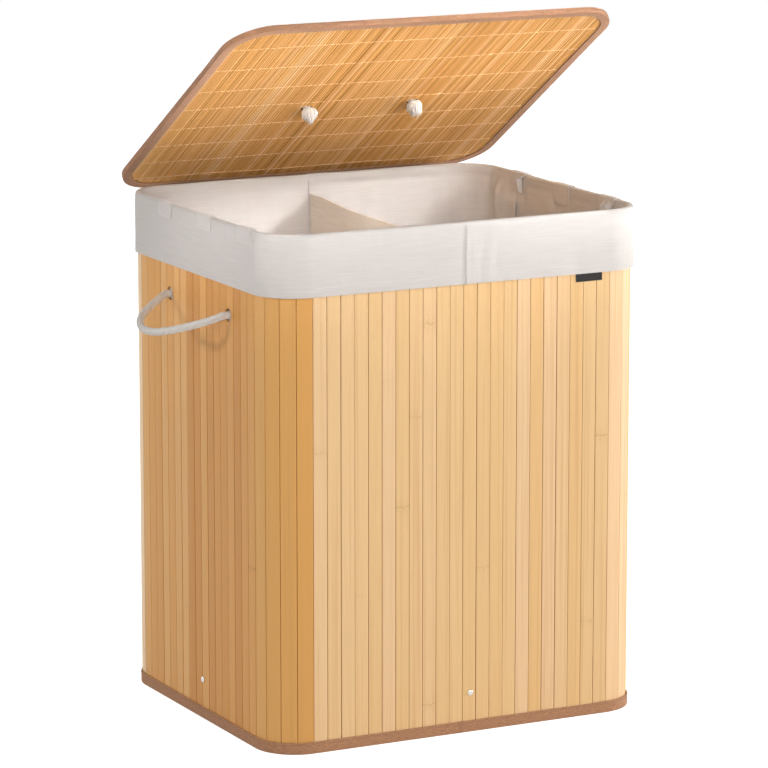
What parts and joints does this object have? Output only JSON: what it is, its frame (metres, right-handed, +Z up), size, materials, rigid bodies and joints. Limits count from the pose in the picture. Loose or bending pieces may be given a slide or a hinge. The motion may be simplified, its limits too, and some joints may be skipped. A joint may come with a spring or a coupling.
{
  "type": "laundry hamper",
  "caption": "Rectangular slatted bamboo laundry hamper with a folded-over cotton liner parted into separate bins, a hinged slat lid and rope handles.",
  "frame": {"origin": "middle of the footprint, on the surface that the hamper stands on", "axes": "+Z up; the front is towards -Y, the left handle towards -X and the lid's hinge towards +Y"},
  "size_m": [0.646, 0.4585, 0.8683],
  "materials": {
    "bamboo": "lacquered pale bamboo",
    "bamboo_sticks": "raw split bamboo sticks, stitched with thread",
    "brown_tape": "woven binding tape",
    "cotton": "plain-woven cotton",
    "divider_cotton": "unbleached cotton",
    "rope": "braided cotton rope",
    "webbing": "woven webbing",
    "board": "fibreboard",
    "rivet_steel": "plated rivet head",
    "tag_cloth": "bare black satin tag"
  },
  "bodies": {
    "hamper": {"slats_front": "bamboo", "slats_right": "bamboo", "slats_back": "bamboo", "slats_left": "bamboo", "slats_corner_front_right": "bamboo", "slats_corner_back_right": "bamboo", "slats_corner_back_left": "bamboo", "slats_corner_front_left": "bamboo", "foot_tape": "brown_tape", "base_panel": "board", "base_strap_front": "webbing", "base_strap_right": "webbing", "base_strap_back": "webbing", "base_strap_left": "webbing", "rivet_front": "rivet_steel", "rivet_right": "rivet_steel", "rivet_back": "rivet_steel", "rivet_left": "rivet_steel", "handle_left_knot_front": "rope", "handle_left_knot_back": "rope", "handle_right_knot_front": "rope", "handle_right_knot_back": "rope", "liner_left": "cotton", "liner_right": "cotton", "liner_floor": "cotton", "liner_divider": "divider_cotton", "rim_tab_left_front": "cotton", "rim_tab_left_middle": "cotton", "rim_tab_left_back": "cotton", "rim_tab_right_front": "cotton", "rim_tab_right_middle": "cotton", "rim_tab_right_back": "cotton", "tag": "tag_cloth", "hinge_leaf": "cotton"},
    "lid": {"hinge_strip": "cotton", "lid_stick_mat": "bamboo_sticks", "lid_slats": "bamboo", "lid_tape": "brown_tape", "lid_knot_left": "rope", "lid_knot_right": "rope"},
    "handle_left": {"handle_left_loop": "rope"},
    "handle_right": {"handle_right_loop": "rope"},
    "handle_lid": {"lid_handle_loop": "rope"}
  },
  "joints": [
    {"name": "lid_swing", "type": "hinge", "parent": "hamper", "child": "lid", "pos_m": [0, 0.2193, 0.6115], "axis": [-1, 0, 0], "range_deg": [-32.2, 121]},
    {"name": "handle_left_swing", "type": "hinge", "parent": "hamper", "child": "handle_left", "pos_m": [-0.2585, -0.007, 0.518], "axis": [0, 1, 0], "range_deg": [-64, 105]},
    {"name": "handle_right_swing", "type": "hinge", "parent": "hamper", "child": "handle_right", "pos_m": [0.2585, -0.007, 0.518], "axis": [0, -1, 0], "range_deg": [-64, 105]},
    {"name": "lid_handle_swing", "type": "hinge", "parent": "lid", "child": "handle_lid", "pos_m": [0, 0.06596, 0.74576], "axis": [1, 0, 0], "range_deg": [0, 180]}
  ]
}
